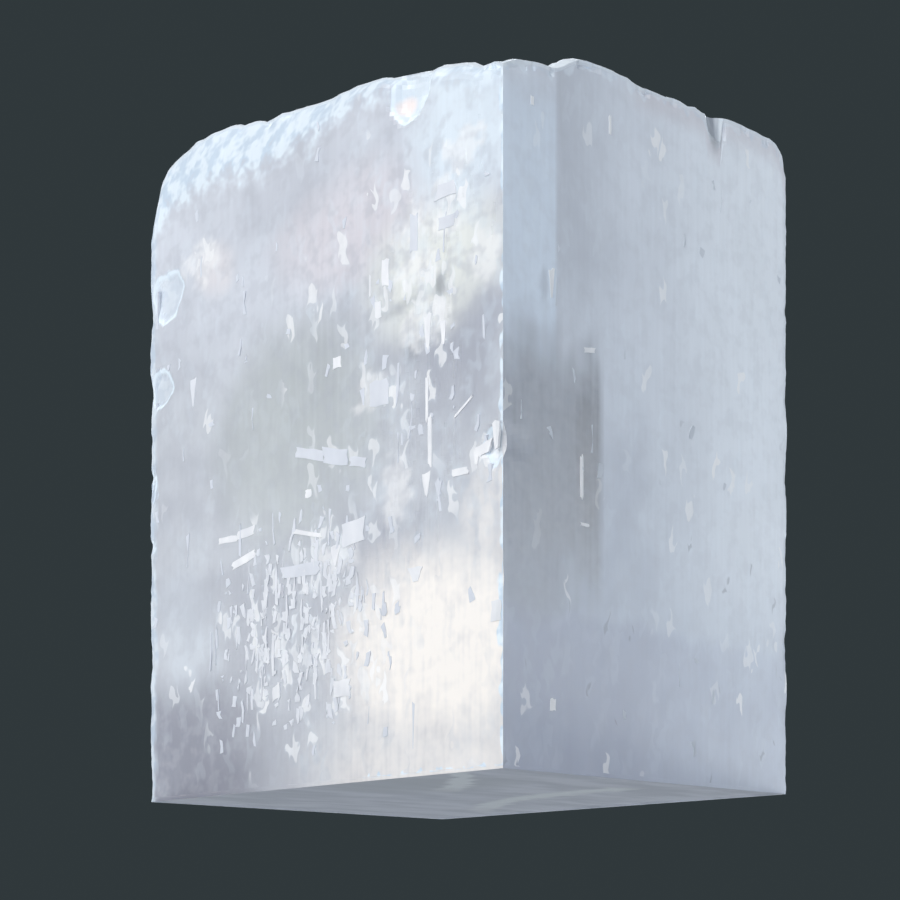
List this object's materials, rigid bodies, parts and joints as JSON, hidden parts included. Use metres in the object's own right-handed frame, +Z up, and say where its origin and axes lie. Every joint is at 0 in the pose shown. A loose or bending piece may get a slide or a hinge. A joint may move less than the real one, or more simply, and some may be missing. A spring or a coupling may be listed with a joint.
{
  "type": "optical calcite block",
  "caption": "Free-standing block of milky, see-through calcite: flat cleavage faces, sharp upright edges and a rough, domed break on top.",
  "frame": {"origin": "middle of the bounding box's underside, level with the cleavage face that the block stands on", "axes": "+Z up; the near upright edge faces -Y, between the left and right cleavage faces, and the upright edges lean 19 degrees towards -Y; +X to the right"},
  "size_m": [0.0834, 0.0926, 0.0805],
  "materials": {
    "milky_calcite": "cleaved faces, milky inside, rough break on top"
  },
  "bodies": {
    "root": {"calcite_block": "milky_calcite"}
  },
  "joints": []
}
